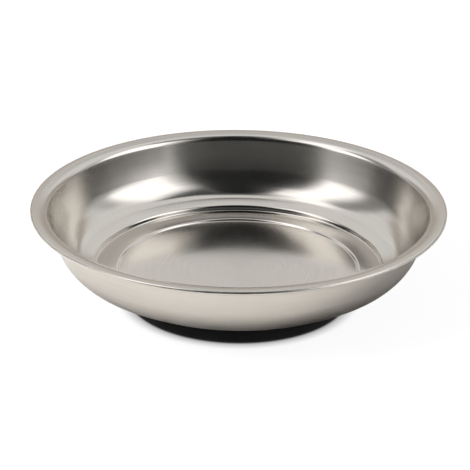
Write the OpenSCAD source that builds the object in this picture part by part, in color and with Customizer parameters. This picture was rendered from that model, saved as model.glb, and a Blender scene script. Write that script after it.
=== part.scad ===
// Magnetic parts tray: a pressed stainless bowl with a rolled rim and a stepped
// floor, standing on a ring magnet in a rubber boot. A stud welded under the
// floor takes the washers and the nut that hold the magnet and the boot on.
// Millimetres, +Z up. The origin is the middle of the face the tray stands on.

/* [Bowl] */
// Diameter over the rolled rim
rim_d = 150; // [125:1:200]
// Height of the rim above the face the tray stands on
tray_h = 36; // [31:0.5:50]
// Thickness of the stainless sheet
sheet_t = 0.6; // [0.4:0.1:0.8]
// Width of the rim, from the wall's corner to the outer edge
rim_w = 5.8; // [5:0.1:8]
// Bend radius between the wall and the rim, at the middle of the sheet
rim_bend_r = 2.4; // [0.8:0.1:2.5]
// Gap inside the rolled edge
roll_gap = 0.3; // [0.1:0.05:0.8]
// Length of the sheet turned back under the rim
roll_back = 1.8; // [1:0.1:2.5]
// Distance, from above, between the outer step and the wall's corner with the rim
wall_reach = 16.2; // [14:0.1:24]
// Lean of the wall, outwards from upright, in degrees
wall_lean = 18; // [8:0.5:24]
// Bow of the wall: how much more upright it stands at the rim than at the sweep, in degrees
wall_bow = 6; // [1:0.5:9]
// Radius of the sweep from the haunch up into the wall
wall_sweep_r = 17; // [6:0.5:18]
// Rise of the haunch, the slanted part between the floor and the wall, in degrees
haunch_rise = 42; // [36:0.5:48]
// Bend radius between the floor's outer band and the haunch
haunch_bend_r = 8; // [3:0.5:9]

/* [Bowl floor] */
// Width of the flat ring between the two steps, over their upper edges
floor_ring_w = 8.9; // [5.5:0.1:12]
// Height of the outer step
outer_step_h = 1.7; // [0.8:0.05:2]
// Height of the inner step
inner_step_h = 0.7; // [0.5:0.05:1.2]
// Distance, from above, over which a step rises
step_run = 0.6; // [0.6:0.05:1.6]
// Bend radius at the edges of both steps
step_bend_r = 0.8; // [0.5:0.05:1]
// Rise of the floor's outer band towards the haunch, in degrees
band_rise = 18; // [3:0.5:22]
// Share of the outer band that is left where the haunch cuts its corner with the wall off
band_share = 0.61; // [0.4:0.01:0.7]

/* [Rubber boot] */
// Thickness of the rubber skirt round the magnet
boot_wall_t = 3.2; // [2:0.1:5]
// Thickness of rubber under the magnet
boot_floor_t = 2.2; // [1.5:0.1:4]
// Thickness of the web that the washer clamps against the bowl
clamp_web_t = 3; // [2:0.1:3.5]
// Rounding of the boot's lower edge
boot_foot_r = 1.4; // [0.5:0.1:2]
// Rounding of the boot's upper edge
boot_top_r = 0.8; // [0.3:0.1:1.2]
// Rounding of the recess's mouth
recess_mouth_r = 0.8; // [0.4:0.1:1.5]

/* [Magnet] */
// Diameter of the ring magnet
magnet_d = 75; // [60:0.5:88]
// Diameter of the magnet's bore, round the boot's hub
magnet_bore_d = 32; // [26:0.5:40]
// Thickness of the ring magnet
magnet_h = 7; // [5:0.5:10]
// Bevel on the magnet's edges
magnet_bevel = 0.5; // [0.3:0.1:1]
// Thickness of the foam ring between the magnet and the bowl
pad_h = 0.8; // [0.5:0.1:1.5]
// Distance of the foam ring's edges from the magnet's edges
pad_inset = 1; // [0.6:0.1:3]

/* [Fastening] */
// Thread size of the welded stud
stud_d = 5; // [4:0.5:6]
// Width of the lip that the stud's weld flange stands out
flange_lip = 0.75; // [0.6:0.05:1.25]
// Thickness of the stud's weld flange
stud_flange_h = 1; // [0.7:0.1:1.5]
// Length of stud that shows past the nut
stud_tail = 0.8; // [0.4:0.1:1.2]
// Diameter of the wide flat washer
washer_d = 15; // [12:0.5:18]
// Thickness of the wide flat washer
washer_h = 1.2; // [0.8:0.1:1.4]
// Room round the flat washer for a spanner
washer_room = 2.5; // [1:0.1:3]
// Width of the spring washer's section
spring_washer_w = 1.95; // [1.5:0.05:2.6]
// Thickness of the spring washer, pressed flat
spring_washer_h = 1.2; // [0.8:0.1:1.4]
// Width of the spring washer's slanted split
spring_split = 0.6; // [0.3:0.1:1]
// Slant of the spring washer's split, in degrees
spring_slant = 20; // [10:1:30]
// Width of the nut across its flats
nut_flats = 8; // [7.5:0.5:10]
// Thickness of the nut
nut_h = 2.7; // [2:0.1:3]
// Bevel on the stud's end and in the nut's mouths
thread_bevel = 0.4; // [0.2:0.1:0.6]

/* [Hidden] */

// Play between the boot and the magnet it holds
boot_play = 0.3;
// Play of the boot's clamped web round the weld flange
flange_play = 0.3;
// Play of the washers round the stud
washer_play = 0.15;
// Play left for the thread between the stud and the nut
thread_play = 0.05;
// How far a cut runs past what it cuts
overrun = 1;
// Largest turn between neighbouring points of a bend, in degrees
bend_turn = 8;
// Share of the haunch that its lower bend may take
haunch_bend_share = 0.3;
// Share of the wall's free length that its bow may take
wall_bow_share = 0.95;
// Fall of the bevel that rounds the nut's corners, in degrees
nut_cone = 30;

// Radii of the bowl's steps, from the rim in
wall_top_r = rim_d / 2 - rim_w;
outer_step_r = wall_top_r - wall_reach;
inner_step_r = outer_step_r - floor_ring_w;

// Radii of the magnet and of the boot that holds it
magnet_r = magnet_d / 2;
magnet_bore_r = magnet_bore_d / 2;
skirt_r = magnet_r + boot_play;
boot_r = skirt_r + boot_wall_t;
hub_r = magnet_bore_r - boot_play;

// Radii of the fastening, from the stud out
stud_r = stud_d / 2;
stud_flange_r = stud_r + flange_lip;
stud_hole_r = stud_flange_r + flange_play;
washer_bore_r = stud_r + washer_play;
recess_r = washer_d / 2 + washer_room;

// Heights of the magnet and of the bowl's underside, from the standing face up
magnet_z = boot_floor_t;
pad_z = magnet_z + magnet_h;
floor_z = pad_z + pad_h;

// Heights of the fastening, from the bowl's underside down
web_z = floor_z - clamp_web_t;
washer_z = web_z - washer_h;
spring_z = washer_z - spring_washer_h;
nut_z = spring_z - nut_h;
stud_end_z = nut_z - stud_tail;

// Middle of the sheet, on the floor, on the rim and in the rolled edge
floor_mid_z = floor_z + sheet_t / 2;
ring_mid_z = floor_mid_z + inner_step_h;
band_mid_z = ring_mid_z + outer_step_h;
rim_mid_z = tray_h - sheet_t / 2;
rim_mid_r = (rim_d - sheet_t) / 2;
roll_r = (roll_gap + sheet_t) / 2;
return_mid_z = rim_mid_z - 2 * roll_r;

// Distance, from above, between a place and where a rise from it meets the wall's leaning line
function run_to_wall(place, rise) =
    (wall_top.x - place.x - (wall_top.y - place.y) * tan(wall_lean)) / (1 - tan(rise) * tan(wall_lean));

// The floor's outer band rises from the outer step on a line that would meet the wall's
// leaning line. The haunch leaves the band before that and cuts their corner off.
band_edge = [outer_step_r, band_mid_z];
wall_top = [wall_top_r, rim_mid_z];
haunch_foot = band_edge + band_share * run_to_wall(band_edge, band_rise) * [1, tan(band_rise)];
wall_foot = haunch_foot + run_to_wall(haunch_foot, haunch_rise) * [1, tan(haunch_rise)];

// The wall bows outwards: its belly lies out from the middle of its leaning line.
wall_l = norm(wall_top - wall_foot);
wall_leg_l = wall_l / 2 / cos(wall_bow / 2);
belly_way = [cos(wall_lean), -sin(wall_lean)];
wall_belly = (wall_foot + wall_top) / 2 + wall_l / 2 * tan(wall_bow / 2) * belly_way;

// Largest bends that leave each other room along the band, the haunch and the wall
haunch_turn = haunch_rise - band_rise;
wall_turn = 90 - wall_lean - wall_bow / 2 - haunch_rise;
rim_turn = 90 - wall_lean + wall_bow / 2;
haunch_l = norm(wall_foot - haunch_foot);
band_room = norm(haunch_foot - band_edge) - step_bend_r;
haunch_r = min(haunch_bend_r, min(band_room, haunch_bend_share * haunch_l) / tan(haunch_turn / 2));
haunch_room = haunch_l - haunch_r * tan(haunch_turn / 2) - sheet_t / 2;
wall_room = wall_leg_l - sheet_t / 2;
sweep_r = min(wall_sweep_r, min(haunch_room, wall_room) / tan(wall_turn / 2));
bow_room = wall_leg_l - max(sweep_r * tan(wall_turn / 2), rim_bend_r * tan(rim_turn / 2));
bow_r = wall_bow_share * bow_room / tan(wall_bow / 2);

// Points round the bend at b, on the way from a to c: each holds a place and a heading
function bend(a, b, c, r) =
    let (
        way_in = (b - a) / norm(b - a),
        way_out = (c - b) / norm(c - b),
        turn = atan2(cross(way_in, way_out), way_in * way_out),
        side = sign(turn),
        start = b - way_in * r * tan(abs(turn) / 2),
        heading = atan2(way_in.y, way_in.x),
        middle = start + side * r * [-way_in.y, way_in.x],
        steps = max(2, ceil(abs(turn) / bend_turn))
    )
    [for (i = [0 : steps])
        let (h = heading + turn * i / steps)
        [middle + side * r * [sin(h), -cos(h)], h]];

// Heading of a straight run
function heading(a, b) = atan2(b.y - a.y, b.x - a.x);

// Places and headings along an open line of corners, each [place, bend radius]
function route(corners) =
    let (last = len(corners) - 1)
    concat(
        [[corners[0][0], heading(corners[0][0], corners[1][0])]],
        [for (i = [1 : last - 1])
            each bend(corners[i - 1][0], corners[i][0], corners[i + 1][0], corners[i][1])],
        [[corners[last][0], heading(corners[last - 1][0], corners[last][0])]]
    );

// Both faces of a sheet of even thickness laid along a route
function sheet_outline(stations, t) =
    let (
        upper = [for (s = stations) s[0] + t / 2 * [-sin(s[1]), cos(s[1])]],
        lower = [for (s = stations) s[0] - t / 2 * [-sin(s[1]), cos(s[1])]]
    )
    concat(upper, [for (i = [len(lower) - 1 : -1 : 0]) lower[i]]);

// A closed outline of corners, each [place, rounding], where zero keeps the corner sharp
function rounded_outline(corners) =
    let (n = len(corners))
    [for (i = [0 : n - 1])
        let (before = corners[(i + n - 1) % n][0], after = corners[(i + 1) % n][0])
        each corners[i][1] > 0
            ? [for (s = bend(before, corners[i][0], after, corners[i][1])) s[0]]
            : [corners[i][0]]];

// A flat ring with square edges
module ring(outer_r, inner_r, h) {
    difference() {
        cylinder(r = outer_r, h = h);
        translate([0, 0, -overrun])
            cylinder(r = inner_r, h = h + 2 * overrun);
    }
}

// Bowl pressed from one sheet: the floor with its two steps, the haunch, the wall and the rolled rim
module bowl() {
    stations = route([
        [[0, floor_mid_z], 0],
        [[inner_step_r - step_run, floor_mid_z], step_bend_r],
        [[inner_step_r, ring_mid_z], step_bend_r],
        [[outer_step_r - step_run, ring_mid_z], step_bend_r],
        [band_edge, step_bend_r],
        [haunch_foot, haunch_r],
        [wall_foot, sweep_r],
        [wall_belly, bow_r],
        [wall_top, rim_bend_r],
        [[rim_mid_r, rim_mid_z], roll_r],
        [[rim_mid_r, return_mid_z], roll_r],
        [[rim_mid_r - roll_r - roll_back, return_mid_z], 0]
    ]);
    color("#c6c1b8")
        rotate_extrude($fn = 180)
            polygon(sheet_outline(stations, sheet_t));
}

// Stud with a weld flange, welded to the underside of the floor
module weld_stud() {
    color("#b9b7b0") {
        translate([0, 0, floor_z - stud_flange_h])
            cylinder(r = stud_flange_r, h = stud_flange_h, $fn = 48);
        translate([0, 0, stud_end_z + thread_bevel])
            cylinder(r = stud_r, h = floor_z - stud_flange_h - stud_end_z - thread_bevel, $fn = 48);
        translate([0, 0, stud_end_z])
            cylinder(r1 = stud_r - thread_bevel, r2 = stud_r, h = thread_bevel, $fn = 48);
    }
}

// Foam ring that beds the brittle magnet against the thin floor
module magnet_pad() {
    color("#3a3b3a")
        translate([0, 0, pad_z])
            ring(magnet_r - pad_inset, magnet_bore_r + pad_inset, pad_h, $fn = 96);
}

// Ferrite ring with bevelled edges
module ring_magnet() {
    color("#33322f")
        rotate_extrude($fn = 120)
            polygon([
                [magnet_bore_r + magnet_bevel, magnet_z],
                [magnet_r - magnet_bevel, magnet_z],
                [magnet_r, magnet_z + magnet_bevel],
                [magnet_r, pad_z - magnet_bevel],
                [magnet_r - magnet_bevel, pad_z],
                [magnet_bore_r + magnet_bevel, pad_z],
                [magnet_bore_r, pad_z - magnet_bevel],
                [magnet_bore_r, magnet_z + magnet_bevel]
            ]);
}

// Moulded boot: a skirt and a floor round the magnet, and a hub that the washer clamps
module rubber_boot() {
    color("#101110")
        rotate_extrude($fn = 120)
            polygon(rounded_outline([
                [[recess_r, 0], recess_mouth_r],
                [[boot_r, 0], boot_foot_r],
                [[boot_r, floor_z], boot_top_r],
                [[skirt_r, floor_z], 0],
                [[skirt_r, magnet_z], 0],
                [[hub_r, magnet_z], 0],
                [[hub_r, floor_z], 0],
                [[stud_hole_r, floor_z], 0],
                [[stud_hole_r, web_z], 0],
                [[recess_r, web_z], 0]
            ]));
}

// Wide flat washer against the boot's clamped web
module flat_washer() {
    color("#c9c7c0")
        translate([0, 0, washer_z])
            ring(washer_d / 2, washer_bore_r, washer_h, $fn = 64);
}

// Spring washer, pressed flat, with its slanted split
module spring_washer() {
    outer_r = washer_bore_r + spring_washer_w;
    split_l = outer_r + overrun;
    split_h = 2 * (spring_washer_h + overrun);
    color("#a9a7a1")
        translate([0, 0, spring_z])
            difference() {
                ring(outer_r, washer_bore_r, spring_washer_h, $fn = 64);
                translate([0, 0, spring_washer_h / 2])
                    rotate([spring_slant, 0, 0])
                        translate([0, -spring_split / 2, -split_h / 2])
                            cube([split_l, spring_split, split_h]);
            }
}

// Thin hexagon nut, bevelled on both faces and at both mouths of its bore
module lock_nut() {
    corner_r = nut_flats / 2 / cos(30);
    bore_r = stud_r + thread_play;
    mouth_h = thread_bevel + overrun;
    fall = (corner_r - nut_flats / 2) * tan(nut_cone);
    color("#bdbbb4")
        translate([0, 0, nut_z])
            difference() {
                intersection() {
                    cylinder(r = corner_r, h = nut_h, $fn = 6);
                    rotate_extrude($fn = 64)
                        polygon([
                            [0, 0],
                            [nut_flats / 2, 0],
                            [corner_r, fall],
                            [corner_r, nut_h - fall],
                            [nut_flats / 2, nut_h],
                            [0, nut_h]
                        ]);
                }
                translate([0, 0, -overrun])
                    cylinder(r = bore_r, h = nut_h + 2 * overrun, $fn = 64);
                translate([0, 0, -overrun])
                    cylinder(r1 = bore_r + mouth_h, r2 = bore_r, h = mouth_h, $fn = 64);
                translate([0, 0, nut_h - thread_bevel])
                    cylinder(r1 = bore_r, r2 = bore_r + mouth_h, h = mouth_h, $fn = 64);
            }
}

bowl();
weld_stud();
magnet_pad();
ring_magnet();
rubber_boot();
flat_washer();
spring_washer();
lock_nut();
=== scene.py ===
"""Magnetic parts tray: a lathe-polished stainless bowl on a rubber-booted ring magnet.

Each piece is drawn as a half section from a single vertex, corner by corner, and turned
round the tray's axis. Metres, +Z up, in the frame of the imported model.
"""

import math

import bpy
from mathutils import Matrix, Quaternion, Vector


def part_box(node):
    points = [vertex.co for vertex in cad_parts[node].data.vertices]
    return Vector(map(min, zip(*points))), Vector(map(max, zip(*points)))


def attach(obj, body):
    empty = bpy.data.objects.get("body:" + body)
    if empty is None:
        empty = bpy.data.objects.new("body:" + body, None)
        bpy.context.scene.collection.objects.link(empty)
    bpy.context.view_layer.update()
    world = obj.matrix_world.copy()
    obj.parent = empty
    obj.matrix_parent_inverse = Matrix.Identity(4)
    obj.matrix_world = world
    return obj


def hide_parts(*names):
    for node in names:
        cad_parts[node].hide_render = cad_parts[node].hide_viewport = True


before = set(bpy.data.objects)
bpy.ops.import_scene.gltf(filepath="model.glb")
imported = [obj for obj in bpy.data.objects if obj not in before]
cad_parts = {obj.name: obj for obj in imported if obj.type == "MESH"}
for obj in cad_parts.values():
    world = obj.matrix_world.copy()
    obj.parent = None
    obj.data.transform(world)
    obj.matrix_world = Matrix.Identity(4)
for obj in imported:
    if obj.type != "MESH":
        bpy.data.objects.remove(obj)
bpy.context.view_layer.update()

bl_info = {
    "name": "Magnetic Parts Tray",
    "version": (1, 0, 0),
    "blender": (4, 5, 0),
    "location": "View3D > Sidebar > Parts Tray",
    "description": "Models, finishes and stages a round magnetic parts tray",
    "category": "Add Mesh",
}

MM = 0.001
BOWL_LOW, BOWL_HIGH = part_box("bowl")
BOOT_LOW, BOOT_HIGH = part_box("rubber_boot")
STUD_LOW, STUD_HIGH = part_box("weld_stud")
WASHER_LOW, WASHER_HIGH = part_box("flat_washer")


# Colours

def linear(hex_code):
    """Linear RGB of an sRGB hex value."""
    parts = [int(hex_code[i : i + 2], 16) / 255 for i in (1, 3, 5)]
    return [c / 12.92 if c <= 0.04045 else ((c + 0.055) / 1.055) ** 2.4 for c in parts]


def with_alpha(colour):
    return (*colour, 1.0)


# Settings a user would change

def length_prop(name, description, default):
    return bpy.props.FloatProperty(
        name=name, description=description, default=default, unit="LENGTH", precision=5)


def angle_prop(name, description, degrees):
    return bpy.props.FloatProperty(
        name=name, description=description, default=math.radians(degrees), subtype="ANGLE")


def share_prop(name, description, default):
    return bpy.props.FloatProperty(
        name=name, description=description, default=default, min=0, max=1, subtype="FACTOR")


def colour_prop(name, description, hex_code):
    return bpy.props.FloatVectorProperty(
        name=name, description=description, default=linear(hex_code), size=3,
        subtype="COLOR", min=0, max=1)


class TraySizes(bpy.types.PropertyGroup):
    """Sizes of the tray's pieces"""

    sheet: length_prop("Sheet", "Thickness of the stainless sheet", 0.6 * MM)
    rim_r: length_prop("Rim radius", "Radius over the rolled rim", BOWL_HIGH.x)
    rim_w: length_prop("Rim width", "Wall's corner to the rim's outer edge", 5.8 * MM)
    rim_bend: length_prop("Rim bend", "Bend radius between wall and rim", 2.4 * MM)
    rim_crown: angle_prop("Rim crown", "Slope of the rim's inner half towards the wall", 18)
    rim_crown_bend: length_prop("Crown bend", "Bend radius of the rim's crown", 8 * MM)
    rim_crown_w: length_prop("Crown width", "Wall's corner to the middle of the crown", 2.4 * MM)
    roll_bend: length_prop("Roll bend", "Bend radius inside the rolled edge", 0.45 * MM)
    roll_back: length_prop("Roll back", "Length of sheet turned back under the rim", 1.8 * MM)
    wall_reach: length_prop("Wall reach", "Outer step to the wall's corner, from above", 16.2 * MM)
    wall_lean: angle_prop("Wall lean", "Lean of the wall outwards from upright", 18)
    wall_bow: angle_prop("Wall bow", "How much more upright the wall is at the rim", 6)
    wall_sweep: length_prop("Wall sweep", "Radius of the sweep from haunch to wall", 17 * MM)
    haunch_rise: angle_prop("Haunch rise", "Rise of the slant between floor and wall", 42)
    haunch_bend: length_prop("Haunch bend", "Bend radius between band and haunch", 8 * MM)
    ring_w: length_prop("Floor ring", "Width of the ring between the two steps", 8.9 * MM)
    outer_step: length_prop("Outer step", "Height of the outer step", 1.7 * MM)
    inner_step: length_prop("Inner step", "Height of the inner step", 0.7 * MM)
    step_run: length_prop("Step run", "Distance over which a step rises", 0.6 * MM)
    step_bend: length_prop("Step bend", "Bend radius at the steps", 0.8 * MM)
    band_rise: angle_prop("Band rise", "Rise of the floor's outer band", 18)
    band_share: share_prop(
        "Band share", "Share of the band left where the haunch cuts its corner", 0.61)
    boot_wall: length_prop("Boot wall", "Thickness of the rubber skirt", 3.2 * MM)
    boot_floor: length_prop("Boot floor", "Thickness of rubber under the magnet", 2.2 * MM)
    boot_foot: length_prop("Boot foot", "Rounding of the boot's lower edge", 1.4 * MM)
    boot_top: length_prop("Boot top", "Rounding of the boot's upper edge", 0.8 * MM)
    hub_r: length_prop("Hub radius", "Radius of the boot's hub in the magnet's bore", 15.7 * MM)
    recess_r: length_prop("Recess radius", "Radius of the nut's recess", 10 * MM)
    recess_mouth: length_prop("Recess mouth", "Rounding of the recess's mouth", 0.8 * MM)
    web: length_prop("Web", "Thickness of the clamped rubber web", 3 * MM)
    web_hole_r: length_prop("Web hole", "Radius of the web's hole round the stud", 3.55 * MM)
    stud_r: length_prop("Stud radius", "Outer radius of the stud's thread", 2.5 * MM)
    stud_flange: length_prop("Stud flange", "Thickness of the stud's weld flange", 1 * MM)
    thread_pitch: length_prop("Thread pitch", "Rise of the thread in one turn", 0.8 * MM)
    thread_depth: length_prop("Thread depth", "Depth of the stud's thread", 0.45 * MM)
    thread_bevel: length_prop("Thread bevel", "Bevel on the stud's end", 0.4 * MM)
    washer_bore_r: length_prop("Washer bore", "Radius of the washer's bore", 2.65 * MM)
    washer_edge: length_prop("Washer edge", "Rounding of the washer's stamped edges", 0.2 * MM)


class TrayFinishes(bpy.types.PropertyGroup):
    """Colours of the tray's materials"""

    steel: colour_prop("Stainless steel", "Polished sheet of the bowl", "#c7c3bd")
    rubber: colour_prop("Rubber", "Moulded black boot", "#0f100f")
    ferrite: colour_prop("Ferrite", "Ground ring magnet", "#33322f")
    foam: colour_prop("Foam", "Closed-cell bedding ring", "#3a3b3a")
    zinc: colour_prop("Zinc plate", "Washers and nut", "#c3c4c4")
    stud: colour_prop("Stud steel", "Machined stainless stud", "#b9b7b0")


# Materials

def add_node(tree, kind, inputs, **settings):
    """Adds a node, sets it up, and links or fills its inputs."""
    node = tree.nodes.new(kind)
    for key, value in settings.items():
        setattr(node, key, value)
    for socket, value in inputs.items():
        if isinstance(value, bpy.types.NodeSocket):
            tree.links.new(value, node.inputs[socket])
        else:
            node.inputs[socket].default_value = value
    return node


def new_material(name):
    """An empty node material, with its tree and its output."""
    material = bpy.data.materials.new(name)
    material.use_nodes = True
    material.node_tree.nodes.clear()
    return material, material.node_tree, material.node_tree.nodes.new("ShaderNodeOutputMaterial")


def turned_lines(tree, spacing, arc_share):
    """A 4D noise whose grains are arcs round the Z axis, a spacing apart and an arc share long."""
    place = add_node(tree, "ShaderNodeTexCoord", {}).outputs["Object"]
    flat = add_node(tree, "ShaderNodeVectorMath", {0: place, 1: (1, 1, 0)}, operation="MULTIPLY")
    radius = add_node(tree, "ShaderNodeVectorMath", {0: flat.outputs[0]}, operation="LENGTH")
    facing = add_node(tree, "ShaderNodeVectorMath", {0: flat.outputs[0]}, operation="NORMALIZE")
    swing = add_node(tree, "ShaderNodeVectorMath",
                     {0: facing.outputs[0], "Scale": spacing / arc_share}, operation="SCALE")
    turn = add_node(tree, "ShaderNodeSeparateXYZ", {0: swing.outputs[0]})
    high = add_node(tree, "ShaderNodeSeparateXYZ", {0: place})
    where = add_node(tree, "ShaderNodeCombineXYZ",
                     {0: radius.outputs["Value"], 1: turn.outputs[0], 2: turn.outputs[1]})
    return add_node(tree, "ShaderNodeTexNoise",
                    {"Vector": where.outputs[0], "W": high.outputs[2],
                     "Scale": 1 / spacing, "Detail": 2, "Roughness": 0.6},
                    noise_dimensions="4D")


def outer_side(tree):
    """One on the faces that look out or down from the bowl, zero on those that look in or up."""
    geometry = add_node(tree, "ShaderNodeNewGeometry", {})
    place = add_node(tree, "ShaderNodeTexCoord", {}).outputs["Object"]
    flat = add_node(tree, "ShaderNodeVectorMath", {0: place, 1: (-1, -1, 0)}, operation="MULTIPLY")
    inward = add_node(tree, "ShaderNodeVectorMath", {0: flat.outputs[0]}, operation="NORMALIZE")
    inside = add_node(tree, "ShaderNodeVectorMath",
                      {0: inward.outputs[0], 1: (0, 0, 1)}, operation="ADD")
    facing = add_node(tree, "ShaderNodeVectorMath",
                      {0: geometry.outputs["Normal"], 1: inside.outputs[0]}, operation="DOT_PRODUCT")
    return add_node(tree, "ShaderNodeMath", {0: facing.outputs["Value"], 1: 0},
                    operation="LESS_THAN").outputs[0]


def polished_stainless(finishes):
    """Stainless sheet, mirror-bright inside with fine round lines, and satin as rolled outside."""
    material, tree, output = new_material("Stainless sheet, lathe polished")
    # Real polishing lines lie about 0.05 mm apart; they are drawn 0.5 mm apart to show.
    lines = turned_lines(tree, spacing=0.5 * MM, arc_share=0.4)
    place = add_node(tree, "ShaderNodeTexCoord", {}).outputs["Object"]
    # Handling leaves soft patches about 18 mm wide that are a little duller.
    patches = add_node(tree, "ShaderNodeTexNoise",
                       {"Vector": place, "Scale": 1 / (18 * MM), "Detail": 3})
    polished = add_node(tree, "ShaderNodeMapRange",
                        {"Value": patches.outputs["Fac"], "From Min": 0.35, "From Max": 0.7,
                         "To Min": 0.12, "To Max": 0.15})
    # Drawing stretched the wall, so it took less of a polish than the floor.
    drawn = add_node(tree, "ShaderNodeMapRange",
                     {"Value": patches.outputs["Fac"], "From Min": 0.35, "From Max": 0.7,
                      "To Min": 0.19, "To Max": 0.24})
    height = add_node(tree, "ShaderNodeSeparateXYZ", {0: place})
    stretch = add_node(tree, "ShaderNodeMapRange",
                       {"Value": height.outputs[2], "From Min": 13 * MM, "From Max": 19 * MM},
                       interpolation_type="SMOOTHSTEP")
    inside = add_node(tree, "ShaderNodeMix",
                      {"Factor": stretch.outputs[0], "A": polished.outputs[0], "B": drawn.outputs[0]})
    satin = add_node(tree, "ShaderNodeMapRange",
                     {"Value": patches.outputs["Fac"], "From Min": 0.35, "From Max": 0.7,
                      "To Min": 0.28, "To Max": 0.38})
    dull = add_node(tree, "ShaderNodeMix",
                    {"Factor": outer_side(tree), "A": inside.outputs[0], "B": satin.outputs[0]})
    bump = add_node(tree, "ShaderNodeBump",
                    {"Height": lines.outputs["Fac"], "Strength": 0.3, "Distance": 0.015 * MM})
    tone = add_node(tree, "ShaderNodeMix",
                    {"Factor": lines.outputs["Fac"],
                     "A": with_alpha([0.91 * c for c in finishes.steel]),
                     "B": with_alpha([1.09 * c for c in finishes.steel])},
                    data_type="RGBA")
    around = add_node(tree, "ShaderNodeTangent", {}, direction_type="RADIAL", axis="Z")
    surface = add_node(tree, "ShaderNodeBsdfPrincipled",
                       {"Base Color": tone.outputs["Result"], "Metallic": 1.0,
                        "Roughness": dull.outputs[0], "Anisotropic": 0.3,
                        "Anisotropic Rotation": 0.25, "Tangent": around.outputs[0],
                        "Normal": bump.outputs[0]})
    tree.links.new(surface.outputs[0], output.inputs["Surface"])
    return material


def moulded_rubber(finishes):
    """Nitrile rubber from an etched mould: deep black, matt, with a fine even grain."""
    material, tree, output = new_material("Nitrile rubber, moulded matt")
    place = add_node(tree, "ShaderNodeTexCoord", {}).outputs["Object"]
    # The mould's etched grain is about 0.15 mm; it is drawn at 0.4 mm to show.
    grain = add_node(tree, "ShaderNodeTexNoise",
                     {"Vector": place, "Scale": 1 / (0.4 * MM), "Detail": 2})
    # A bloom of wax and dust lies on moulded rubber in patches about 9 mm wide.
    bloom = add_node(tree, "ShaderNodeTexNoise",
                     {"Vector": place, "Scale": 1 / (9 * MM), "Detail": 4})
    colour = add_node(tree, "ShaderNodeMix",
                      {"Factor": bloom.outputs["Fac"],
                       "A": with_alpha([0.75 * c for c in finishes.rubber]),
                       "B": with_alpha([1.25 * c for c in finishes.rubber])},
                      data_type="RGBA")
    matt = add_node(tree, "ShaderNodeMapRange",
                    {"Value": bloom.outputs["Fac"], "From Min": 0.3, "From Max": 0.7,
                     "To Min": 0.6, "To Max": 0.75})
    bump = add_node(tree, "ShaderNodeBump",
                    {"Height": grain.outputs["Fac"], "Strength": 0.5, "Distance": 0.03 * MM})
    surface = add_node(tree, "ShaderNodeBsdfPrincipled",
                       {"Base Color": colour.outputs["Result"], "Roughness": matt.outputs[0],
                        "Specular IOR Level": 0.12, "Normal": bump.outputs[0]})
    tree.links.new(surface.outputs[0], output.inputs["Surface"])
    return material


def speckled(name, colour, grain, spread, roughness, depth, metallic=0.0):
    """A material of fine grains: its colour and its roughness vary from grain to grain."""
    material, tree, output = new_material(name)
    place = add_node(tree, "ShaderNodeTexCoord", {}).outputs["Object"]
    grains = add_node(tree, "ShaderNodeTexNoise",
                      {"Vector": place, "Scale": 1 / grain, "Detail": 3})
    tint = add_node(tree, "ShaderNodeMix",
                    {"Factor": grains.outputs["Fac"],
                     "A": with_alpha([(1 - spread) * c for c in colour]),
                     "B": with_alpha([min(1, (1 + spread) * c) for c in colour])},
                    data_type="RGBA")
    matt = add_node(tree, "ShaderNodeMapRange",
                    {"Value": grains.outputs["Fac"], "From Min": 0.3, "From Max": 0.7,
                     "To Min": roughness - 0.06, "To Max": roughness + 0.06})
    bump = add_node(tree, "ShaderNodeBump",
                    {"Height": grains.outputs["Fac"], "Strength": 0.4, "Distance": depth})
    surface = add_node(tree, "ShaderNodeBsdfPrincipled",
                       {"Base Color": tint.outputs["Result"], "Metallic": metallic,
                        "Roughness": matt.outputs[0], "Normal": bump.outputs[0]})
    tree.links.new(surface.outputs[0], output.inputs["Surface"])
    return material


def ground_ferrite(finishes):
    """Sintered ferrite, ground flat: charcoal grey, dull, with a fine ceramic grain."""
    return speckled("Ferrite, ground", finishes.ferrite, 0.5 * MM, 0.2, 0.5, 0.01 * MM)


def cut_foam(finishes):
    """Closed-cell foam cut from sheet: dark, quite matt, with cells about half a millimetre wide."""
    return speckled("EVA foam, closed cell", finishes.foam, 0.6 * MM, 0.3, 0.85, 0.1 * MM)


def zinc_plate(finishes):
    """Steel with bright zinc plate: cool, shiny, slightly cloudy from grain to grain."""
    return speckled("Steel, bright zinc plated", finishes.zinc,
                    1.2 * MM, 0.08, 0.26, 0.002 * MM, metallic=1.0)


def machined_stud(finishes):
    """Stainless stud with a rolled thread: grey, satin, a little duller than the sheet."""
    return speckled("Stainless stud, rolled thread", finishes.stud,
                    0.4 * MM, 0.1, 0.3, 0.002 * MM, metallic=1.0)


# Modelling

# Distance from a bend to the edge that keeps its shading off the straight run
SUPPORT = 0.15 * MM
MERGE = 0.002 * MM
# Share of the room in the wall that its bow takes up
BOW_SHARE = 0.95
# Thread ridge: how far its foot sinks into the core and its crest stands past the outline,
# then where, in shares of the pitch, its crest starts and ends and its foot ends
RIDGE_SINK = 0.1 * MM
RIDGE_OVER = 0.06 * MM
RIDGE_SHARES = (0.45, 0.55, 0.98)


def start_section(name, place):
    """Starts a piece as one selected vertex, in edit mode."""
    bpy.ops.object.select_all(action="DESELECT")
    bpy.ops.mesh.primitive_plane_add(size=MM)
    piece = bpy.context.object
    piece.name = name
    piece.data.name = name
    bpy.ops.object.mode_set(mode="EDIT")
    bpy.ops.mesh.select_all(action="SELECT")
    bpy.ops.mesh.merge(type="CENTER")
    bpy.ops.transform.translate(value=(place.x, 0, place.y))
    return piece


def run_to(start, end, support):
    """Extrudes the selected vertex along a straight run, with an edge close to each end of it."""
    way = end - start
    stops = [way.length]
    if way.length > 3 * support:
        stops = [support, way.length - support, way.length]
    done = 0
    for stop in stops:
        step = way.normalized() * (stop - done)
        bpy.ops.mesh.extrude_region_move(
            TRANSFORM_OT_translate={"value": (step.x, 0, step.y)})
        done = stop


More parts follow.
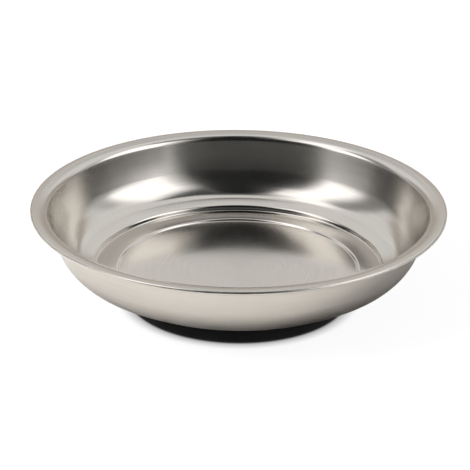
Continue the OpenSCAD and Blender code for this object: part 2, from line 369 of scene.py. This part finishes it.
def bend_round(before, corner, after, radius, step):
    """Start, middle, turn and step count of a bend that rounds a corner."""
    way_in = (corner - before).normalized()
    way_out = (after - corner).normalized()
    turn = math.atan2(way_in.cross(way_out), way_in.dot(way_out))
    reach = radius * math.tan(abs(turn) / 2)
    begin = corner - way_in * reach
    side = Vector((-way_in.y, way_in.x)) * math.copysign(radius, turn)
    return begin, begin + side, turn, max(3, math.ceil(abs(turn) / step)), corner + way_out * reach


def draw_section(name, corners, support, step=math.radians(3)):
    """Draws a half section through corners, each a place and a bend radius, where zero is sharp."""
    here = corners[0][0]
    piece = start_section(name, here)
    for i in range(1, len(corners)):
        corner, radius = corners[i]
        if radius == 0 or i == len(corners) - 1:
            run_to(here, corner, support)
            here = corner
            continue
        begin, middle, turn, steps, end = bend_round(
            corners[i - 1][0], corner, corners[i + 1][0], radius, step)
        run_to(here, begin, support)
        bpy.ops.mesh.spin(steps=steps, angle=abs(turn), center=(middle.x, 0, middle.y),
                          axis=(0, math.copysign(1, turn), 0))
        here = end
    return piece


def turn_round(steps):
    """Turns the drawn section once round the Z axis and closes its seam and its pole."""
    bpy.ops.mesh.select_all(action="SELECT")
    bpy.ops.mesh.spin(steps=steps, angle=math.tau, center=(0, 0, 0), axis=(0, 0, 1))
    bpy.ops.mesh.select_all(action="SELECT")
    bpy.ops.mesh.remove_doubles(threshold=MERGE)
    bpy.ops.mesh.normals_make_consistent(inside=False)
    bpy.ops.object.mode_set(mode="OBJECT")


def finish_piece(piece, material, node, crease=30):
    """Shades a piece, gives it its material and lets it stand for its CAD node."""
    bpy.ops.object.shade_smooth_by_angle(angle=math.radians(crease))
    piece.data.materials.clear()
    piece.data.materials.append(material)
    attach(piece, "root")
    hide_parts(node)


def pick_faces(mesh, wanted):
    """Selects the faces that a test wants, and leaves edit mode on."""
    bpy.ops.object.mode_set(mode="EDIT")
    bpy.ops.mesh.select_mode(type="FACE")
    bpy.ops.mesh.select_all(action="DESELECT")
    bpy.ops.object.mode_set(mode="OBJECT")
    for face in mesh.polygons:
        face.select = wanted(face)
    bpy.ops.object.mode_set(mode="EDIT")


def corner(x, y, radius=0.0):
    return Vector((x, y)), radius


class TRAY_OT_press_bowl(bpy.types.Operator):
    """Draws the sheet's middle line, turns it round and gives it the sheet's thickness"""

    bl_idname = "tray.press_bowl"
    bl_label = "Press Bowl"

    def execute(self, context):
        s = context.scene.tray_sizes
        floor_z = BOWL_LOW.z + s.sheet / 2
        ring_z = floor_z + s.inner_step
        band_z = ring_z + s.outer_step
        rim_z = BOWL_HIGH.z - s.sheet / 2
        wall_r = s.rim_r - s.rim_w
        outer_r = wall_r - s.wall_reach
        inner_r = outer_r - s.ring_w
        lean = math.tan(s.wall_lean)
        wall_top = Vector((wall_r, rim_z))

        def towards_wall(place, rise, share=1.0):
            """A share of the way up a rise from a place to the wall's leaning line."""
            gap = wall_top - place
            run = share * (gap.x - gap.y * lean) / (1 - math.tan(rise) * lean)
            return place + run * Vector((1, math.tan(rise)))

        band_edge = Vector((outer_r, band_z))
        haunch_foot = towards_wall(band_edge, s.band_rise, s.band_share)
        wall_foot = towards_wall(haunch_foot, s.haunch_rise)
        half_wall = (wall_top - wall_foot) / 2
        out = Vector((half_wall.y, -half_wall.x)) * math.tan(s.wall_bow / 2)
        wall_belly = wall_foot + half_wall + out
        leg = half_wall.length / math.cos(s.wall_bow / 2)
        sweep_turn = math.pi / 2 - s.wall_lean - s.wall_bow / 2 - s.haunch_rise
        bow_room = leg - s.wall_sweep * math.tan(sweep_turn / 2)
        bow_r = BOW_SHARE * bow_room / math.tan(s.wall_bow / 2)
        # The rim's inner half slopes down to meet the wall a little below its corner.
        down = (wall_belly - wall_top).normalized()
        slope = math.tan(s.rim_crown)
        lip = wall_top + down * s.rim_crown_w * slope / (-down.y + down.x * slope)
        edge_r = s.rim_r - s.sheet / 2
        return_z = rim_z - 2 * s.roll_bend
        piece = draw_section("steel_bowl", [
            corner(0, floor_z),
            corner(inner_r - s.step_run, floor_z, s.step_bend),
            corner(inner_r, ring_z, s.step_bend),
            corner(outer_r - s.step_run, ring_z, s.step_bend),
            corner(*band_edge, s.step_bend),
            corner(*haunch_foot, s.haunch_bend),
            corner(*wall_foot, s.wall_sweep),
            corner(*wall_belly, bow_r),
            corner(*lip, s.rim_bend),
            corner(wall_r + s.rim_crown_w, rim_z, s.rim_crown_bend),
            corner(edge_r, rim_z, s.roll_bend),
            corner(edge_r, return_z, s.roll_bend),
            corner(edge_r - s.roll_bend - s.roll_back, return_z),
        ], support=SUPPORT, step=math.radians(4))
        turn_round(steps=240)
        bpy.ops.object.modifier_add(type="SOLIDIFY")
        sheet = piece.modifiers[-1]
        sheet.thickness = s.sheet
        sheet.offset = 0
        sheet.use_even_offset = True
        bpy.ops.object.modifier_apply(modifier=sheet.name)
        finish_piece(piece, polished_stainless(context.scene.tray_finishes),
                     "bowl", crease=40)
        return {"FINISHED"}


class TRAY_OT_mould_boot(bpy.types.Operator):
    """Draws the boot's section, with its pocket for the magnet, and turns it round"""

    bl_idname = "tray.mould_boot"
    bl_label = "Mould Boot"

    def execute(self, context):
        s = context.scene.tray_sizes
        low, high = BOOT_LOW.z, BOOT_HIGH.z
        side_r = BOOT_HIGH.x
        skirt_r = side_r - s.boot_wall
        pocket_z = low + s.boot_floor
        web_z = high - s.web
        start = corner((s.recess_r + side_r) / 2, low)
        piece = draw_section("moulded_boot", [
            start,
            corner(side_r, low, s.boot_foot),
            corner(side_r, high, s.boot_top),
            corner(skirt_r, high),
            corner(skirt_r, pocket_z),
            corner(s.hub_r, pocket_z),
            corner(s.hub_r, high),
            corner(s.web_hole_r, high),
            corner(s.web_hole_r, web_z),
            corner(s.recess_r, web_z),
            corner(s.recess_r, low, s.recess_mouth),
            start,
        ], support=SUPPORT, step=math.radians(9))
        turn_round(steps=192)
        finish_piece(piece, moulded_rubber(context.scene.tray_finishes),
                     "rubber_boot")
        return {"FINISHED"}


class TRAY_OT_stamp_washer(bpy.types.Operator):
    """Draws the flat washer's section with its stamped edges and turns it round"""

    bl_idname = "tray.stamp_washer"
    bl_label = "Stamp Washer"

    def execute(self, context):
        s = context.scene.tray_sizes
        low, high = WASHER_LOW.z, WASHER_HIGH.z
        bore_r, side_r = s.washer_bore_r, WASHER_HIGH.x
        start = corner((bore_r + side_r) / 2, low)
        piece = draw_section("stamped_washer", [
            start,
            corner(side_r, low, s.washer_edge),
            corner(side_r, high, s.washer_edge),
            corner(bore_r, high, s.washer_edge),
            corner(bore_r, low, s.washer_edge),
            start,
        ], support=0.05 * MM, step=math.radians(15))
        turn_round(steps=96)
        finish_piece(piece, zinc_plate(context.scene.tray_finishes), "flat_washer")
        return {"FINISHED"}


def combine(piece, tool, operation):
    """Joins or cuts a piece with a tool, which is used up."""
    bpy.ops.object.select_all(action="DESELECT")
    bpy.context.view_layer.objects.active = piece
    piece.select_set(True)
    bpy.ops.object.modifier_add(type="BOOLEAN")
    boolean = piece.modifiers[-1]
    boolean.operation = operation
    boolean.object = tool
    bpy.ops.object.modifier_apply(modifier=boolean.name)
    piece.select_set(False)
    tool.select_set(True)
    bpy.ops.object.delete()
    bpy.context.view_layer.objects.active = piece
    piece.select_set(True)


class TRAY_OT_roll_stud(bpy.types.Operator):
    """Winds a ridge round the stud's core and trims it to the stud's outline"""

    bl_idname = "tray.roll_stud"
    bl_label = "Roll Stud"

    def execute(self, context):
        s = context.scene.tray_sizes
        low, high = STUD_LOW.z, STUD_HIGH.z
        flange_r, flange_z = STUD_HIGH.x, high - s.stud_flange
        root_r = s.stud_r - s.thread_depth

        def shank(name, radius, bevel):
            """The flange with a shank of one radius, as a turned piece."""
            piece = draw_section(name, [
                corner(0, high),
                corner(flange_r, high),
                corner(flange_r, flange_z),
                corner(radius, flange_z),
                corner(radius, low + bevel),
                corner(radius - bevel, low),
                corner(0, low),
            ], support=1 * MM)
            turn_round(steps=64)
            return piece

        turns = math.ceil((flange_z - low) / s.thread_pitch)
        foot_r, crest_r = root_r - RIDGE_SINK, s.stud_r + RIDGE_OVER
        start_z = low - s.thread_pitch
        crest_start, crest_end, foot_end = (
            start_z + share * s.thread_pitch for share in RIDGE_SHARES)
        ridge = draw_section("thread_ridge", [
            corner(foot_r, start_z),
            corner(crest_r, crest_start),
            corner(crest_r, crest_end),
            corner(foot_r, foot_end),
            corner(foot_r, start_z),
        ], support=1 * MM)
        bpy.ops.mesh.select_all(action="SELECT")
        bpy.ops.mesh.remove_doubles(threshold=MERGE)
        bpy.ops.object.mode_set(mode="OBJECT")
        bpy.ops.object.modifier_add(type="SCREW")
        screw = ridge.modifiers[-1]
        screw.axis = "Z"
        screw.angle = math.tau
        screw.screw_offset = s.thread_pitch
        screw.iterations = turns
        screw.steps = 48
        bpy.ops.object.modifier_apply(modifier=screw.name)
        bpy.ops.object.mode_set(mode="EDIT")
        bpy.ops.mesh.select_all(action="SELECT")
        bpy.ops.mesh.fill_holes(sides=0)
        bpy.ops.mesh.select_all(action="SELECT")
        bpy.ops.mesh.normals_make_consistent(inside=False)
        bpy.ops.object.mode_set(mode="OBJECT")

        core = shank("stud_core", root_r, 0)
        combine(core, ridge, "UNION")
        piece = shank("threaded_stud", s.stud_r, s.thread_bevel)
        combine(piece, core, "INTERSECT")
        finish_piece(piece, machined_stud(context.scene.tray_finishes), "weld_stud")
        return {"FINISHED"}


class TRAY_OT_finish_inner_pieces(bpy.types.Operator):
    """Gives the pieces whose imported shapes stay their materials"""

    bl_idname = "tray.finish_inner_pieces"
    bl_label = "Finish Inner Pieces"

    def execute(self, context):
        finishes = context.scene.tray_finishes
        zinc = bpy.data.materials["Steel, bright zinc plated"]
        for node, material in (
            ("ring_magnet", ground_ferrite(finishes)),
            ("magnet_pad", cut_foam(finishes)),
            ("spring_washer", zinc),
            ("lock_nut", zinc),
        ):
            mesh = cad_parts[node].data
            mesh.materials.clear()
            mesh.materials.append(material)
        return {"FINISHED"}


# Stage

FLOOR_SIZE = 40
FLOOR_GAP = 0.05 * MM
STUDIO_R = 3.0
PANEL_GAP = 0.02
FILL_LIGHT = 0.5
LAMP_AIM = (0, 0, 20 * MM)
CAMERA_BACK = 0.8
CAMERA_RISE = 22.97
CAMERA_ROLL = 0.5
CAMERA_LENS = 169.9
CAMERA_AIM = (-1.22 * MM, -4.14 * MM, 25.57 * MM)
RIM_MIDDLE = (0, 0, 35.35 * MM)

# Panels of the studio that the polished steel mirrors, in degrees: azimuth from the camera's
# side towards +X, elevation above the floor and width of the soft edge; then brightness and tint.
PANELS = {
    "left_softbox": (-88, -60, 17, 66, 4, 2.2, "#ffffff"),
    "left_top_softbox": (-150, -50, 58, 73, 4, 1.9, "#ffffff"),
    "right_softbox": (51, 96, 17, 58, 4, 2.2, "#ffffff"),
    "camera_side_flag": (-56, 40, 12, 90, 8, 0.015, "#e6f2f5"),
    "left_gap": (-112, -93, 4, 54, 4, 0.28, "#ffffff"),
    "right_gap": (98, 112, 8, 38, 5, 0.6, "#ffffff"),
    "camera_side_low": (-54, 42, -12, 16, 6, 0.09, "#e6f2f5"),
    "side_low_left": (-130, -54, -8, 15, 4, 0.55, "#ffffff"),
    "side_low_right": (46, 130, -8, 13, 5, 0.24, "#ffffff"),
    "back_low_left": (-180, -125, 4, 23.5, 2.5, 0.55, "#fff4e6"),
    "back_low_right": (125, 180, 4, 23.5, 2.5, 0.55, "#fff4e6"),
    "back_middle_left": (-180, -170, 29, 51, 4, 0.68, "#ffffff"),
    "back_middle_right": (170, 180, 29, 51, 4, 0.68, "#ffffff"),
    "right_top_flag": (40, 112, 63, 90, 3, 0.09, "#e6f2f5"),
    "overhead_flag": (-180, 180, 80, 90, 4, 0.08, "#e6f2f5"),
}


# Lamps that shape the shadow: place, side and power in watts. The steel doesn't mirror them.
LAMPS = {
    "left_lamp": ((-0.45, -0.25, 0.55), 0.4, 9.5),
    "right_lamp": ((1.6, -0.5, 1.4), 1.4, 6),
}


def seen_directly(tree):
    """One for the rays that show the stage itself: from the camera, in metal and through glass."""
    path = add_node(tree, "ShaderNodeLightPath", {})
    shiny = add_node(tree, "ShaderNodeMath",
                     {0: path.outputs["Is Camera Ray"], 1: path.outputs["Is Glossy Ray"]},
                     operation="MAXIMUM")
    return add_node(tree, "ShaderNodeMath",
                    {0: shiny.outputs[0], 1: path.outputs["Is Transmission Ray"]},
                    operation="MAXIMUM").outputs[0]


def panel_material(name, studio_r, azimuth, elevation, edge, brightness, tint):
    """An even glow that fades out towards the panel's edges."""
    material, tree, output = new_material(name)
    place = add_node(tree, "ShaderNodeTexCoord", {}).outputs["Object"]
    axes = add_node(tree, "ShaderNodeSeparateXYZ", {0: place})
    back = add_node(tree, "ShaderNodeMath", {0: axes.outputs[1], 1: -1}, operation="MULTIPLY")
    turn = add_node(tree, "ShaderNodeMath", {0: axes.outputs[0], 1: back.outputs[0]},
                    operation="ARCTAN2")
    rise = add_node(tree, "ShaderNodeMath", {0: axes.outputs[2], 1: studio_r}, operation="DIVIDE")
    rise = add_node(tree, "ShaderNodeMath", {0: rise.outputs[0]}, operation="ARCSINE")
    cover = None
    for angle, (low, high) in ((turn, azimuth), (rise, elevation)):
        for limit, way in ((low, 1), (high, -1)):
            if abs(limit) in (90, 180):
                continue
            fade = add_node(tree, "ShaderNodeMapRange",
                            {"Value": angle.outputs[0], "From Min": math.radians(limit - way * edge),
                             "From Max": math.radians(limit + way * edge)},
                            interpolation_type="SMOOTHSTEP")
            cover = fade.outputs[0] if cover is None else add_node(
                tree, "ShaderNodeMath", {0: cover, 1: fade.outputs[0]},
                operation="MULTIPLY").outputs[0]
    glow = add_node(tree, "ShaderNodeEmission",
                    {"Color": with_alpha(linear(tint)), "Strength": brightness})
    clear = add_node(tree, "ShaderNodeBsdfTransparent", {})
    mixed = add_node(tree, "ShaderNodeMixShader",
                     {0: cover, 1: clear.outputs[0], 2: glow.outputs[0]})
    tree.links.new(mixed.outputs[0], output.inputs["Surface"])
    return material


def hang_panel(name, rank, left, right, low, high, edge, brightness, tint):
    """Cuts a panel out of a sphere round the tray. Only mirror rays meet it."""
    studio_r = STUDIO_R + rank * PANEL_GAP
    bpy.ops.object.select_all(action="DESELECT")
    bpy.ops.mesh.primitive_uv_sphere_add(segments=120, ring_count=60, radius=studio_r)
    panel = bpy.context.object
    panel.name = name
    panel.data.name = name

    def outside(face):
        x, y, z = face.center
        azimuth = math.degrees(math.atan2(x, -y))
        rise = math.degrees(math.asin(max(-1, min(1, z / studio_r))))
        return not (left - edge <= azimuth <= right + edge and low - edge <= rise <= high + edge)

    pick_faces(panel.data, outside)
    bpy.ops.mesh.delete(type="FACE")
    bpy.ops.mesh.select_mode(type="VERT")
    bpy.ops.object.mode_set(mode="OBJECT")
    panel.data.materials.append(panel_material(
        name, studio_r, (left, right), (low, high), edge, brightness, tint))
    for ray in ("camera", "diffuse", "transmission", "volume_scatter", "shadow"):
        setattr(panel, "visible_" + ray, False)
    return panel


def white_floor():
    """White paper that keeps the tray's shadow and is clear from below."""
    material, tree, output = new_material("Paper sweep, white")
    path = add_node(tree, "ShaderNodeLightPath", {})
    # Painted shade: under the bowl, the paper that the steel mirrors darkens over a few centimetres,
    # from an occlusion node in its colour.
    under = add_node(tree, "ShaderNodeAmbientOcclusion",
                     {"Color": (0.68, 0.665, 0.64, 1), "Distance": 28 * MM})
    paper = add_node(tree, "ShaderNodeBsdfDiffuse", {"Color": under.outputs["Color"]})
    shaded = add_node(tree, "ShaderNodeBsdfDiffuse", {"Color": (0.12, 0.12, 0.12, 1)})
    # Painted shade: close to the foot, the paper that the camera sees darkens over a few millimetres,
    # from an occlusion node that dims its glow.
    near = add_node(tree, "ShaderNodeAmbientOcclusion", {"Distance": 4.5 * MM})
    lift = add_node(tree, "ShaderNodeMapRange", {"Value": near.outputs["AO"], "To Max": 0.93})
    glow = add_node(tree, "ShaderNodeEmission", {"Strength": lift.outputs[0]})
    shown = add_node(tree, "ShaderNodeAddShader", {0: shaded.outputs[0], 1: glow.outputs[0]})
    top = add_node(tree, "ShaderNodeMixShader",
                   {0: path.outputs["Is Camera Ray"], 1: paper.outputs[0], 2: shown.outputs[0]})
    # Rays from the foot itself pass, so that the underside is lit when it is looked at.
    close = add_node(tree, "ShaderNodeMath",
                     {0: path.outputs["Ray Length"], 1: 8 * MM}, operation="LESS_THAN")
    below = add_node(tree, "ShaderNodeNewGeometry", {}).outputs["Backfacing"]
    passing = add_node(tree, "ShaderNodeMath", {0: below, 1: close.outputs[0]}, operation="MAXIMUM")
    clear = add_node(tree, "ShaderNodeBsdfTransparent", {})
    mixed = add_node(tree, "ShaderNodeMixShader",
                     {0: passing.outputs[0], 1: top.outputs[0], 2: clear.outputs[0]})
    tree.links.new(mixed.outputs[0], output.inputs["Surface"])
    return material


class TRAY_OT_set_stage(bpy.types.Operator):
    """Lays the white floor, hangs the studio's panels and lamps, and places the camera"""

    bl_idname = "tray.set_stage"
    bl_label = "Set Stage"

    def execute(self, context):
        scene = context.scene
        scene.view_settings.view_transform = "Standard"

        world = bpy.data.worlds.new("Studio")
        scene.world = world
        world.use_nodes = True
        tree = world.node_tree
        tree.nodes.clear()
        output = tree.nodes.new("ShaderNodeOutputWorld")
        paper = (1, 1, 1, 1)
        fill = add_node(tree, "ShaderNodeBackground", {"Color": paper, "Strength": FILL_LIGHT})
        white = add_node(tree, "ShaderNodeBackground", {"Color": paper, "Strength": 1.0})
        mixed = add_node(tree, "ShaderNodeMixShader",
                         {0: seen_directly(tree), 1: fill.outputs[0], 2: white.outputs[0]})
        tree.links.new(mixed.outputs[0], output.inputs["Surface"])

        bpy.ops.object.select_all(action="DESELECT")
        bpy.ops.mesh.primitive_plane_add(size=FLOOR_SIZE, location=(0, 0, -FLOOR_GAP))
        floor = context.object
        floor.name = "floor"
        floor.data.materials.append(white_floor())

        for rank, (name, limits) in enumerate(PANELS.items()):
            hang_panel(name, rank, *limits)

        for name, (place, size, power) in LAMPS.items():
            bpy.ops.object.light_add(type="AREA", location=place)
            lamp = context.object
            lamp.name = name
            lamp.data.size = size
            lamp.data.energy = power
            lamp.visible_glossy = False
            aim = Vector(LAMP_AIM) - lamp.location
            lamp.rotation_euler = aim.to_track_quat("-Z", "Y").to_euler()

        rise = math.radians(CAMERA_RISE)
        bpy.ops.object.camera_add()
        camera = context.object
        camera.name = "camera"
        back = Vector((0, -math.cos(rise), math.sin(rise)))
        camera.location = Vector(RIM_MIDDLE) + CAMERA_BACK * back
        look = (Vector(CAMERA_AIM) - camera.location).to_track_quat("-Z", "Y")
        roll = Quaternion((0, 0, 1), math.radians(CAMERA_ROLL))
        camera.rotation_euler = (look @ roll).to_euler()
        camera.data.lens = CAMERA_LENS
        camera.data.sensor_width = 36
        camera.data.clip_start = 0.01
        scene.camera = camera
        return {"FINISHED"}


class VIEW3D_PT_parts_tray(bpy.types.Panel):
    """Lists the tray's operators, sizes and colours"""

    bl_label = "Parts Tray"
    bl_space_type = "VIEW_3D"
    bl_region_type = "UI"
    bl_category = "Parts Tray"

    def draw(self, context):
        layout = self.layout
        for operator in OPERATORS:
            layout.operator(operator.bl_idname)
        for group in (context.scene.tray_sizes, context.scene.tray_finishes):
            for key in group.bl_rna.properties.keys():
                if key not in ("rna_type", "name"):
                    layout.prop(group, key)


OPERATORS = (
    TRAY_OT_press_bowl,
    TRAY_OT_mould_boot,
    TRAY_OT_stamp_washer,
    TRAY_OT_roll_stud,
    TRAY_OT_finish_inner_pieces,
    TRAY_OT_set_stage,
)
CLASSES = (TraySizes, TrayFinishes, *OPERATORS, VIEW3D_PT_parts_tray)


def register():
    for cls in CLASSES:
        bpy.utils.register_class(cls)
    bpy.types.Scene.tray_sizes = bpy.props.PointerProperty(type=TraySizes)
    bpy.types.Scene.tray_finishes = bpy.props.PointerProperty(type=TrayFinishes)


def unregister():
    del bpy.types.Scene.tray_finishes
    del bpy.types.Scene.tray_sizes
    for cls in reversed(CLASSES):
        bpy.utils.unregister_class(cls)


def main():
    register()
    bpy.ops.tray.press_bowl()
    bpy.ops.tray.mould_boot()
    bpy.ops.tray.stamp_washer()
    bpy.ops.tray.roll_stud()
    bpy.ops.tray.finish_inner_pieces()
    bpy.ops.tray.set_stage()


if __name__ == "__main__":
    main()
